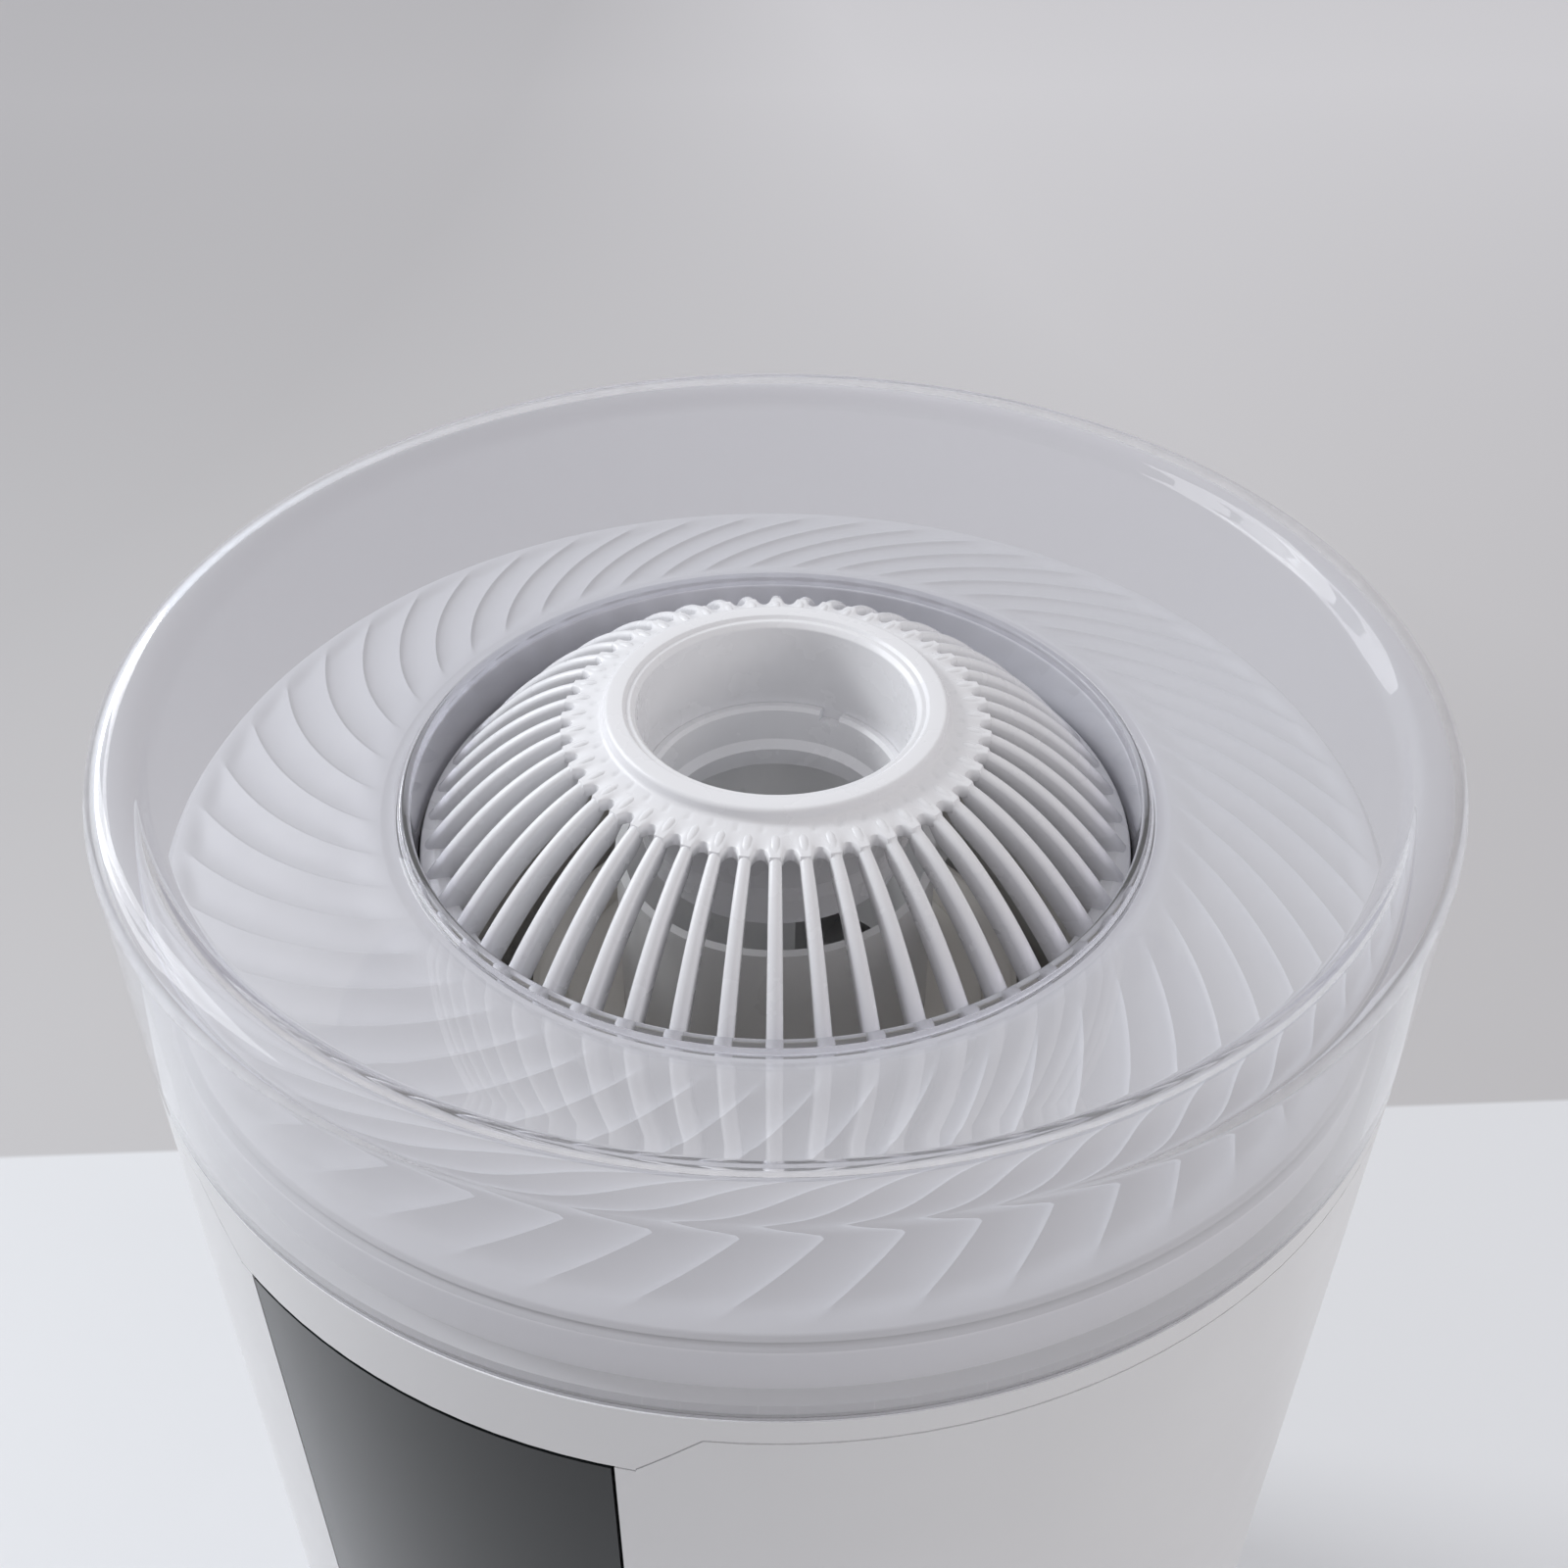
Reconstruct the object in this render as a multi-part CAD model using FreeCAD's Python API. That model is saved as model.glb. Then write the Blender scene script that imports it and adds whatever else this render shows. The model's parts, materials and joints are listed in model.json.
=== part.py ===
import FreeCAD, Part
import math
import os

# Round top-fill air purifier with a humidifying tank, in millimetres.
# Origin: centre of the ring the feet stand on. +Z up, the glass panel faces -Y.
V = FreeCAD.Vector
UP = V(0, 0, 1)

# ---- driving dimensions ---------------------------------------------------
HEIGHT = 600.0            # floor to the rim of the clear ring
BODY_R = 170.0            # outside radius of the body and of the clear ring
WALL = 3.0                # moulded wall
GAP = 0.3                 # rest gap between parts that lift apart
FOOT_H = 8.0
BASE_TOP = 44.0

FRONT = -90.0             # azimuth of the glass panel
BACK = 90.0               # azimuth of the filter door
PANEL_HALF = 17.3         # half width of the glass panel, degrees
PANEL_BOTTOM = 190.0
PANEL_TOP = HEIGHT - 92.0
PANEL_GAP = 0.8
BAND_TOP = HEIGHT - 69.2  # white band under the clear ring
BAND_BOTTOM = HEIGHT - 76.8
TAB_HALF = 18.9           # half width of the band's tab over the panel, degrees
SEAM = 0.6                # visible seam under the band

DOOR_HALF = 80.0          # half width of the filter door, degrees
DOOR_BOTTOM = BASE_TOP
DOOR_TOP = 300.0
DOOR_SLOTS = 36
DOOR_ROWS = 3

RIM_ROUND = 7.6           # outer radius of the clear ring's rolled rim
RIM_TURN = 56.0           # how far the roll goes on past its top, degrees
FUNNEL_R = 154.4          # where the rolled rim meets the funnel
FUNNEL_Z = HEIGHT - 5.8
COLLAR_R = 96.1           # inside radius of the clear collar
COLLAR_TOP = HEIGHT - 34.0
COLLAR_BOTTOM = HEIGHT - 54.5

PLATE_R = 163.0           # swirl plate under the clear funnel
PLATE_HOLE_R = 99.0
PLATE_BAND_R = 104.5
PLATE_BAND_Z = HEIGHT - 38.6
PLATE_EDGE_Z = HEIGHT - 51.4
SWIRL_RIBS = 50
FLUTE_DEPTH = 1.3
SWIRL_TURN = 26.0         # degrees that a rib turns on its way out
FLUTE_FIRST = 6.87        # azimuth of the first flute at its inner end, degrees

GRILLE_BARS = 48
GRILLE_R = 92.5
GRILLE_FOOT_R = 95.4      # ring that the bars stand on
GRILLE_BASE_Z = HEIGHT - 50.0
GRILLE_CAP_R = 45.0
GRILLE_CAP_Z = HEIGHT - 14.0
GRILLE_TOP = HEIGHT - 10.8
GRILLE_HOLE_R = 36.3
GRILLE_BULGE = 28.0       # how far the bars bow out, four times the rise at mid length
SLOT_START_R = 54.0
SLOT_FIRST = 2.55         # azimuth of the first slot, degrees

TUBE_TOP = HEIGHT - 37.7  # step ring in the centre tube
TUBE_BOTTOM = HEIGHT - 56.0
TUBE_R = 33.0
TUBE_MOUTH_R = 30.2
NOTCH_ANGLE = 92.0        # azimuth of the latch notch in the step ring

TANK_R = 162.5
TANK_FLOOR = 392.0
DUCT_R = 90.0             # air way through the tank
DUCT_WALL = 2.5
DUCT_TOP = HEIGHT - 54.8
CUP_R = 44.0              # mist cup in the middle of the air way
CUP_FLOOR = 440.0
CUP_RIM = HEIGHT - 60.0
DEFLECTOR_Z = HEIGHT - 116.0
BRIDGE_W = 40.0
BRIDGE_ANGLES = (0, 180)
DISC_R = 12.9             # ultrasonic disc in the cup's floor
BRIDGE_BOTTOM = 440.0
BRIDGE_TOP = 484.0

DECK_Z = 383.0            # fixed deck that carries the tank
DECK_R = 166.5
DECK_TOP = TANK_FLOOR - 0.5
FAN_BOTTOM = 304.0
MOTOR_R = 34.0
SHAFT_R = 4.0
SHAFT_CLEAR = 0.05
FAN_HUB_R = 36.0
FAN_TIP_R = 85.5
FAN_Z = 314.0
FAN_H = 30.0
FAN_BLADES = 9
STATOR_VANES = 7

FILTER_R = 135.0
FILTER_CORE_R = 101.0      # inside radius of the core, which the pleats lie on
PLEAT_DEEP = 26.5
PLEAT_THICK = 4.0
FILTER_BOTTOM = 62.0
FILTER_TOP = 292.0
SEAL_R = 125.0
SEAL_W = 8.0
SEAL_H = 5.4
PLEATS = 72

FLOAT_ANGLE = 140.0
FLOAT_R = 14.0
FLOAT_POST_R = 3.0
FLOAT_POST_TOP = 470.0
FLOAT_ORBIT = 127.0

DISPLAY_BOTTOM = 311.0    # the boards sit in the fan bay, below the tank
DISPLAY_Y = -157.0

BOARD_CHIPS = (           # middle x and z, width, height and thickness of each
    (-20, 330, 24, 18, 9),
    (15, 325, 12, 12, 5),
    (28, 352, 10, 16, 12),
    (-25, 358, 16, 8, 6),
)

LEAD_R = 2.2
RISER_PLACE = (-56.0, -145.2)

SCREW_R = 1.6
SCREW_HEAD_R = 3.2
SCREW_HEAD_H = 2.2


# ---- helpers --------------------------------------------------------------
def at(radius, degrees, z=0.0):
    """Point on a circle about the vertical axis."""
    a = math.radians(degrees)
    return V(radius * math.cos(a), radius * math.sin(a), z)


def tube(r_out, r_in, z0, z1, centre=V(0, 0, 0)):
    """Straight ring, or a plain cylinder where r_in is zero."""
    base = V(centre.x, centre.y, z0)
    body = Part.makeCylinder(r_out, z1 - z0, base, UP)
    if r_in > 0:
        body = body.cut(Part.makeCylinder(r_in, z1 - z0, base, UP))
    return body


def profile_face(points):
    """Face in the XZ plane from (r, z) points; a third value bows the edge that ends there."""
    edges = []
    count = len(points)
    for i in range(count):
        a = points[i]
        b = points[(i + 1) % count]
        start = V(a[0], 0, a[1])
        end = V(b[0], 0, b[1])
        if len(b) == 3:
            run = end.sub(start)
            normal = V(run.z, 0, -run.x).normalize()
            mid = start.add(end).multiply(0.5).add(normal.multiply(b[2]))
            edges.append(Part.Arc(start, mid, end).toShape())
        else:
            edges.append(Part.LineSegment(start, end).toShape())
    return Part.Face(Part.Wire(edges))


def turned(points):
    """Full revolution of a profile."""
    return profile_face(points).revolve(V(0, 0, 0), UP, 360)


def sector(r_out, r_in, z0, z1, middle, half):
    """Curved slab: a piece of a ring, centred on an azimuth."""
    face = profile_face([(r_in, z0), (r_out, z0), (r_out, z1), (r_in, z1)])
    face.rotate(V(0, 0, 0), UP, middle - half)
    return face.revolve(V(0, 0, 0), UP, 2 * half)


def block(x0, x1, y0, y1, z0, z1):
    """Box between two corners."""
    return Part.makeBox(x1 - x0, y1 - y0, z1 - z0, V(x0, y0, z0))


def turn(shape, degrees):
    """Copy of a shape turned about the vertical axis."""
    out = shape.copy()
    out.rotate(V(0, 0, 0), UP, degrees)
    return out


def around(shape, count, first=0.0):
    """Copies of a shape spread evenly about the vertical axis."""
    return [turn(shape, first + i * 360.0 / count) for i in range(count)]


def radial_slot(r0, r1, w0, w1, z0, z1):
    """Cutter that widens outwards along +X, with a round inner end."""
    a = V(r0, -w0 / 2, z0)
    b = V(r1, -w1 / 2, z0)
    c = V(r1, w1 / 2, z0)
    d = V(r0, w0 / 2, z0)
    tip = V(r0 - w0 / 2, 0, z0)
    edges = [
        Part.LineSegment(a, b).toShape(),
        Part.LineSegment(b, c).toShape(),
        Part.LineSegment(c, d).toShape(),
        Part.Arc(d, tip, a).toShape(),
    ]
    return Part.Face(Part.Wire(edges)).extrude(V(0, 0, z1 - z0))


def pipe(points, radius, bend):
    """Round lead along straight runs joined by tangent arcs."""
    edges = []
    start = points[0]
    for i in range(1, len(points) - 1):
        back = points[i - 1].sub(points[i]).normalize()
        ahead = points[i + 1].sub(points[i]).normalize()
        half = back.getAngle(ahead) / 2
        cut = bend / math.tan(half)
        p = points[i].add(V(back).multiply(cut))
        q = points[i].add(V(ahead).multiply(cut))
        inward = back.add(ahead).normalize()
        mid = points[i].add(inward.multiply(bend / math.sin(half) - bend))
        edges.append(Part.LineSegment(start, p).toShape())
        edges.append(Part.Arc(p, mid, q).toShape())
        start = q
    edges.append(Part.LineSegment(start, points[-1]).toShape())
    path = Part.Wire(edges)
    ring = Part.Wire(Part.Circle(points[0], points[1].sub(points[0]), radius).toShape())
    return path.makePipeShell([ring], True, False)


# ---- base and body --------------------------------------------------------
def base_pan():
    """Pan that carries everything, with a rim inside the outer shell."""
    pan = turned([(0, FOOT_H), (158, FOOT_H), (162, FOOT_H + 4, 1.5), (162, BASE_TOP - 0.5),
                  (159, BASE_TOP - 0.5), (159, FOOT_H + 5), (157, FOOT_H + 3, -0.6), (0, FOOT_H + 3)])
    ledge = tube(166.6, 161.5, FOOT_H + 6, FOOT_H + 10)
    pan = pan.fuse(ledge)
    for foot in feet_places():
        pan = pan.cut(tube(9.2, 0, FOOT_H - 1, FOOT_H + 1.5, foot))
    inlet = inlet_opening()
    pan = pan.cut(inlet)
    for place in pan_screw_places():
        boss = tube(5, 0, FOOT_H + 2.5, BASE_TOP - 0.5, place)
        pan = pan.fuse(boss)
        pan = pan.cut(tube(SCREW_R + 0.1, 0, BASE_TOP - 16, BASE_TOP, place))
    return pan


def feet_places():
    """Centres of the four feet."""
    return [at(135, 45 + 90 * i) for i in range(4)]


def rubber_feet():
    """Four pads set into the pan's floor."""
    feet = []
    for place in feet_places():
        pad = tube(9, 0, 0, FOOT_H + 1.4, place)
        edges = [e for e in pad.Edges if e.BoundBox.ZMax < 0.1 and e.BoundBox.ZMin > -0.1]
        feet.append(pad.makeFillet(1.2, edges))
    return Part.makeCompound(feet)


def inlet_opening():
    """Hole for the mains inlet, through the back of the base."""
    return block(-12, 12, 140, 175, 18, 36)


def outer_shell():
    """Cylindrical casing with the panel window, the door opening and the inlet hole."""
    top = BAND_BOTTOM - SEAM
    shell = tube(BODY_R, BODY_R - WALL, 12, top)
    shell = shell.cut(band_outline(SEAM))
    window_h = PANEL_TOP + 20 - PANEL_BOTTOM
    window = sector(BODY_R + 5, BODY_R - 10, PANEL_BOTTOM, PANEL_BOTTOM + window_h, FRONT, PANEL_HALF)
    shell = shell.cut(window)
    door = sector(BODY_R + 5, BODY_R - 10, DOOR_BOTTOM, DOOR_TOP, BACK, DOOR_HALF)
    shell = shell.cut(door)
    lip = tube(BODY_R - WALL, BODY_R - 8, 18.2, 21)
    return shell.fuse(lip).cut(block(-10, 10, 150, 180, 20, 34))


def band_outline(extra):
    """Space of the band with its tab over the panel; extra widens it downwards."""
    drop = BAND_BOTTOM - (PANEL_TOP + 0.4)
    ring = tube(BODY_R + 2, BODY_R - 9, BAND_BOTTOM - extra, BAND_TOP + 2)
    step = math.degrees(drop / BODY_R)
    low = sector(BODY_R + 2, BODY_R - 9, PANEL_TOP + 0.4 - extra, BAND_BOTTOM, FRONT, TAB_HALF)
    corners = []
    for side in (-1, 1):
        corners.append(tab_corner(side, step, extra))
    return ring.fuse([low] + corners)


def tab_corner(side, step, extra):
    """Slanting end of the tab, about forty-five degrees."""
    a = FRONT + side * (TAB_HALF - 0.2)
    b = FRONT + side * (TAB_HALF + step)
    z0 = PANEL_TOP + 0.4 - extra
    z1 = BAND_BOTTOM + 0.01
    faces = []
    for r in (BODY_R - 9, BODY_R + 2):
        corners = [at(r, a, z0), at(r, b, z1 - extra), at(r, b, z1), at(r, a, z1)]
        faces.append(Part.makePolygon(corners + [corners[0]]))
    return Part.makeLoft(faces, True, True)


def upper_band():
    """White band between the casing and the clear ring, with a tab over the panel."""
    band = band_outline(0).common(tube(BODY_R, BODY_R - WALL, PANEL_TOP - 10, BAND_TOP))
    rim = tube(BODY_R - 2.9, TANK_R, BAND_BOTTOM + 1, BAND_TOP)
    return band.fuse(rim)


def front_panel():
    """Smoked glass panel, curved with the body."""
    half = PANEL_HALF - math.degrees(PANEL_GAP / BODY_R)
    return sector(BODY_R, BODY_R - 2.4, PANEL_BOTTOM + PANEL_GAP, PANEL_TOP - PANEL_GAP, FRONT, half)


def panel_frame():
    """Black carrier behind the glass, with a window for the display."""
    frame = sector(BODY_R - WALL, BODY_R - 6, PANEL_BOTTOM - 6, PANEL_TOP - 2, FRONT, PANEL_HALF + 2)
    window = sector(BODY_R, BODY_R - 12, DISPLAY_BOTTOM + 6, DISPLAY_BOTTOM + 60, FRONT, 12)
    return frame.cut(window)


def frame_space():
    """Room that the decks leave for the panel's carrier."""
    return sector(BODY_R, BODY_R - 6.3, BASE_TOP, BAND_TOP, FRONT, PANEL_HALF + 2.2)


def display_board():
    """Board with the touch pads and light segments, behind the glass."""
    z0 = DISPLAY_BOTTOM
    board = block(-30, 30, DISPLAY_Y, DISPLAY_Y + 1.6, z0, z0 + 66)
    for x in (-25, 25):
        for z in (z0 + 5, z0 + 61):
            board = board.cut(Part.makeCylinder(1.8, 10, V(x, DISPLAY_Y - 4, z), V(0, 1, 0)))
    return board


def display_lights():
    """Light segments of two digits, and a row of key lights, on the display board."""
    front = DISPLAY_Y - 3
    z0 = DISPLAY_BOTTOM + 28
    lights = []
    for digit in (-8, 8):
        for row in range(3):
            low = z0 + row * 9
            lights.append(block(digit - 4, digit + 4, front, DISPLAY_Y, low, low + 1.6))
        for side in (-1, 1):
            for row in range(2):
                x = digit + side * 4.8
                low = z0 + 1.9 + row * 9
                lights.append(block(x - 0.7, x + 0.7, front, DISPLAY_Y, low, low + 7))
    for key in (-18, -6, 6, 18):
        lights.append(Part.makeCylinder(2, 2, V(key, DISPLAY_Y - 2, z0 - 14), V(0, 1, 0)))
    return Part.makeCompound(lights)


def control_board():
    """Main board on the front of the fan housing, with its chips and sockets."""
    board = block(-45, 45, -146, -144.4, 312, 376)
    chips = []
    for x, z, wide, tall, thick in BOARD_CHIPS:
        chip = block(-wide / 2, wide / 2, -144.4, -144.4 + thick, z - tall / 2, z + tall / 2)
        chip.translate(V(x, 0, 0))
        chips.append(chip)
    return board.fuse(chips)


def power_supply():
    """Mains module in the base, beside the inlet."""
    return block(-60, -18, 95, 140, 12.5, 36)


def mains_inlet():
    """Two-pin appliance inlet facing backwards."""
    shell = block(-11.9, 11.9, 138, 157.8, 18.1, 35.9)
    flange = block(-9.9, 9.9, 157.8, 169, 20.1, 33.9)
    body = shell.fuse(flange)
    body = body.cut(block(-8, 8, 150, 172, 22.5, 31.5))
    for x in (-3.5, 3.5):
        body = body.fuse(Part.makeCylinder(1.2, 14, V(x, 149, 27), V(0, 1, 0)))
    return body


def filter_tray():
    """Floor of the filter bay, which closes the base."""
    tray = tube(158.8, 0, BASE_TOP, BASE_TOP + 3)
    tray = tray.fuse(tube(30, 26, BASE_TOP + 3, FILTER_BOTTOM - 0.5))
    for place in pan_screw_places():
        tray = tray.cut(tube(SCREW_R + 0.1, 0, BASE_TOP - 1, BASE_TOP + 4, place))
    return tray.cut(riser_hole(BASE_TOP - 1, BASE_TOP + 4))


def pan_screw_places():
    """Four screws that hold the filter tray on the pan."""
    return [at(148, 10 + 90 * i) for i in range(4)]


# ---- fan ------------------------------------------------------------------
def fan_deck():
    """Deck over the filter, with a skirt for the filter's seal."""
    floor = tube(DECK_R, DUCT_R + 0.5, FAN_BOTTOM, FAN_BOTTOM + WALL)
    skirt = tube(SEAL_R, SEAL_R - SEAL_W, FILTER_TOP + SEAL_H + 0.4, FAN_BOTTOM)
    deck = floor.fuse(skirt)
    for place in housing_screw_places():
        deck = deck.cut(tube(SCREW_R + 0.1, 0, FAN_BOTTOM - 1, FAN_BOTTOM + WALL + 1, place))
    return deck.cut([riser_hole(FAN_BOTTOM - 1, FAN_BOTTOM + WALL + 1), frame_space()])


def fan_housing():
    """Fan duct, with the motor's cup on stator vanes."""
    wall = tube(DUCT_R + 0.5, DUCT_R - 2.5, FAN_BOTTOM, DECK_Z)
    cup_low = FAN_Z + FAN_H + 3.5
    cup = tube(MOTOR_R + 3, MOTOR_R + 0.2, cup_low + 2.5, DECK_Z + 4)
    cap = tube(MOTOR_R + 3, SHAFT_R + 1, cup_low, cup_low + 2.5)
    vane = block(MOTOR_R + 2, DUCT_R - 1, -1.2, 1.2, cup_low + 4.5, DECK_Z)
    return wall.fuse([cup, cap] + around(vane, STATOR_VANES, 12))


def housing_screw_places():
    """Six screws that hold the housing down on the casing's brackets."""
    return [at(158, 60 * i) for i in range(6)]


def housing_brackets():
    """Six brackets on the casing that the fan housing is screwed to."""
    brackets = []
    for place in housing_screw_places():
        angle = math.degrees(math.atan2(place.y, place.x))
        pad = sector(BODY_R - WALL, 152, FAN_BOTTOM - 3, FAN_BOTTOM, angle, 3.5)
        brackets.append(pad.cut(tube(SCREW_R + 0.1, 0, FAN_BOTTOM - 4, FAN_BOTTOM + 1, place)))
    return Part.makeCompound(brackets)


def fan_guard():
    """Wire guard under the fan, facing the filter's core."""
    rings = [tube(r, r - 1.6, FAN_BOTTOM - 2.4, FAN_BOTTOM - 0.8) for r in (20, 40, 60, 80)]
    rings.append(tube(96, 90, FAN_BOTTOM - 2.4, FAN_BOTTOM))
    spokes = around(block(10, 92, -0.8, 0.8, FAN_BOTTOM - 2.4, FAN_BOTTOM - 0.8), 6)
    hub = tube(11, 0, FAN_BOTTOM - 2.4, FAN_BOTTOM - 0.8)
    return hub.fuse(rings + spokes)


def motor():
    """Fan motor's can."""
    low = FAN_Z + FAN_H + 6.2
    can = tube(MOTOR_R, 8.1, low, DECK_Z + 3)
    return can


def motor_bushes():
    """Two sintered bushes that the shaft runs in."""
    low = FAN_Z + FAN_H + 6.2
    bore = SHAFT_R + SHAFT_CLEAR
    return Part.makeCompound([tube(8, bore, low, low + 8), tube(8, bore, DECK_Z - 5, DECK_Z + 3)])


def motor_cover():
    """Cap over the motor, seen from above through the air way."""
    low = DECK_Z + 4
    return turned([(0, low), (MOTOR_R + 3, low), (MOTOR_R + 3, low + 3), (MOTOR_R - 6, low + 11, 1.5),
                   (0, low + 13)])


def shaft():
    """Motor shaft."""
    return tube(SHAFT_R, 0, FAN_Z + 2, DECK_Z + 3.5)


def impeller():
    """Axial impeller: a hub with nine twisted blades."""
    bore = SHAFT_R
    hub = turned([(bore, FAN_Z + 3), (FAN_HUB_R - 8, FAN_Z), (FAN_HUB_R, FAN_Z + 8, 2),
                  (FAN_HUB_R, FAN_Z + FAN_H), (FAN_HUB_R - 3, FAN_Z + FAN_H),
                  (FAN_HUB_R - 3, FAN_Z + 10), (bore + 5, FAN_Z + 10), (bore + 5, FAN_Z + FAN_H),
                  (bore, FAN_Z + FAN_H)])
    blades = []
    for i in range(FAN_BLADES):
        blades.append(turn(fan_blade(), i * 360.0 / FAN_BLADES))
    swept = tube(FAN_TIP_R, FAN_HUB_R - 1, FAN_Z + 1, FAN_Z + FAN_H - 1)
    bodies = [blade.common(swept) for blade in blades]
    return hub.fuse(bodies)


def fan_blade():
    """One blade, lofted from the root to the tip with less pitch outwards."""
    wires = []
    for radius, pitch, chord in ((FAN_HUB_R - 2, 48, 34), (60, 38, 40), (FAN_TIP_R + 2, 30, 46)):
        a = math.radians(pitch)
        dy = chord / 2 * math.cos(a)
        dz = chord / 2 * math.sin(a)
        z = FAN_Z + FAN_H / 2
        t = 1.1
        nz = t * math.cos(a)
        ny = t * math.sin(a)
        ring = [V(radius, -dy - ny, z - dz + nz), V(radius, dy - ny, z + dz + nz),
                V(radius, dy + ny, z + dz - nz), V(radius, -dy + ny, z - dz - nz)]
        wires.append(Part.makePolygon(ring + [ring[0]]))
    return Part.makeLoft(wires, True, True)


def impeller_nut():
    """Nut that holds the impeller on the shaft's lower end."""
    ring = []
    for i in range(7):
        ring.append(at(6, 60 * i, FAN_Z - 3))
    return Part.Face(Part.makePolygon(ring)).extrude(V(0, 0, 5))


def tank_deck():
    """Deck that the water tank stands on, with drain ribs and the air way."""
    deck = tube(DECK_R, DUCT_R + 1, DECK_Z, DECK_Z + WALL)
    deck = deck.fuse(tube(DUCT_R + 5, DUCT_R + 1, DECK_Z, DECK_TOP))
    rib = block(100, 160, -1.5, 1.5, DECK_Z + 2, DECK_TOP)
    return deck.fuse(around(rib, 12, 15)).cut(frame_space())


def deck_rim():
    """Upstanding rim round the deck that centres the tank."""
    rim = tube(DECK_R, TANK_R + 1, DECK_Z + WALL, DECK_TOP + 12)
    return rim.cut(frame_space())


def deck_contacts():
    """Block with three sprung pins that feed the tank's mist disc."""
    base = block(-16, 16, -132, -118, DECK_Z + 3, DECK_Z + 6)
    pins = [tube(1.5, 0, DECK_Z + 6, DECK_TOP + 0.4, V(x, -125, 0)) for x in (-9, 0, 9)]
    return base.fuse(pins)


def level_sensor():
    """Reed switch board under the deck, below the float."""
    board = block(-12, 12, -8, 8, DECK_Z - 3.6, DECK_Z - 2)
    reed = Part.makeCylinder(1.4, 16, V(-8, 0, DECK_Z - 0.6 - 1.4), V(1, 0, 0))
    both = board.fuse(reed)
    both.translate(at(FLOAT_ORBIT, FLOAT_ANGLE))
    return both


def dust_sensor():
    """Particle sensor on the side of the fan bay."""
    box = block(112, 150, -24, 24, FAN_BOTTOM + 3, FAN_BOTTOM + 22)
    nozzle = Part.makeCylinder(4, 12, V(149, 0, FAN_BOTTOM + 12), V(1, 0, 0))
    return box.fuse(nozzle)


def motor_lead():
    """Lead from the control board to the fan duct's wall."""
    points = [V(0, -144.3, 350), V(0, -122, 350), V(0, -108, 360), V(0, -DUCT_R - 0.6, 360)]
    return pipe(points, 1.6, 10)


def supply_lead():
    """Lead from the mains module through the base and up the front to the control board."""
    x, y = RISER_PLACE
    low = 24
    points = [
        V(-60.1, 118, low),
        V(-82, 118, low),
        V(-82, -70, low),
        V(x, y, low),
        V(x, y, 340),
        V(-45.1, y, 340),
    ]
    return pipe(points, LEAD_R, 7)


def riser_hole(z0, z1):
    """Clearance hole round the upright run of the supply lead."""
    return tube(LEAD_R + 1.5, 0, z0, z1, V(RISER_PLACE[0], RISER_PLACE[1], 0))


# ---- filter ---------------------------------------------------------------
def filter_media():
    """Pleated paper ring."""
    points = []
    inner = []
    steps = PLEATS * 2
    for i in range(steps):
        crest = i % 2 == 0
        angle = i * 360.0 / steps
        radius = FILTER_R - 1.5 if crest else FILTER_R - 1.5 - PLEAT_DEEP
        points.append(at(radius, angle, FILTER_BOTTOM + 8))
        inner.append(at(radius - PLEAT_THICK, angle, FILTER_BOTTOM + 8))
    outside = Part.Face(Part.makePolygon(points + [points[0]]))
    inside = Part.Face(Part.makePolygon(inner + [inner[0]]))
    return outside.cut(inside).extrude(V(0, 0, FILTER_TOP - FILTER_BOTTOM - 18))


def filter_core():
    """Perforated core inside the pleats."""
    core = tube(FILTER_CORE_R + 2, FILTER_CORE_R, FILTER_BOTTOM + 8, FILTER_TOP - 10)
    height = (FILTER_TOP - FILTER_BOTTOM - 50) / 4
    slots = []
    for row in range(4):
        z = FILTER_BOTTOM + 18 + row * (height + 4)
        slot = block(FILTER_CORE_R - 4, FILTER_CORE_R + 6, -4, 4, z, z + height)
        slots += around(slot, 18)
    return core.cut(slots)


def filter_bottom_cap():
    """Closed lower cap of the cartridge, standing on the tray's ring."""
    return tube(FILTER_R + 1.5, 0, FILTER_BOTTOM, FILTER_BOTTOM + 8)


def filter_top_cap():
    """Open upper cap of the cartridge."""
    return tube(FILTER_R + 1.5, FILTER_CORE_R - 2, FILTER_TOP - 10, FILTER_TOP)


def filter_seal():
    """Foam ring on the upper cap, just under the fan deck's skirt."""
    return tube(SEAL_R, SEAL_R - SEAL_W, FILTER_TOP, FILTER_TOP + SEAL_H)


def pre_filter():
    """Fine mesh sleeve round the cartridge."""
    return tube(FILTER_R + 1, FILTER_R, FILTER_BOTTOM + 8, FILTER_TOP - 10)


def filter_tab():
    """Pull tab at the back of the lower cap."""
    strap = block(-12, 12, FILTER_R, FILTER_R + 16, FILTER_BOTTOM + 2, FILTER_BOTTOM + 4)
    return strap.cut(filter_bottom_cap())


# ---- filter door ----------------------------------------------------------
def rear_door():
    """Curved door with rows of upright intake slots."""
    gap_deg = math.degrees(0.5 / BODY_R)
    half = DOOR_HALF - gap_deg
    door = sector(BODY_R, BODY_R - WALL + 0.3, DOOR_BOTTOM + 0.5, DOOR_TOP - 0.5, BACK, half)
    slots = []
    tall = (DOOR_TOP - DOOR_BOTTOM - 60) / DOOR_ROWS
    for row in range(DOOR_ROWS):
        z = DOOR_BOTTOM + 20 + row * (tall + 10)
        for i in range(DOOR_SLOTS):
            angle = BACK + (i - (DOOR_SLOTS - 1) / 2) * 4.0
            slots.append(turn(door_slot(z, z + tall), angle))
    return door.cut(slots)


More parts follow.
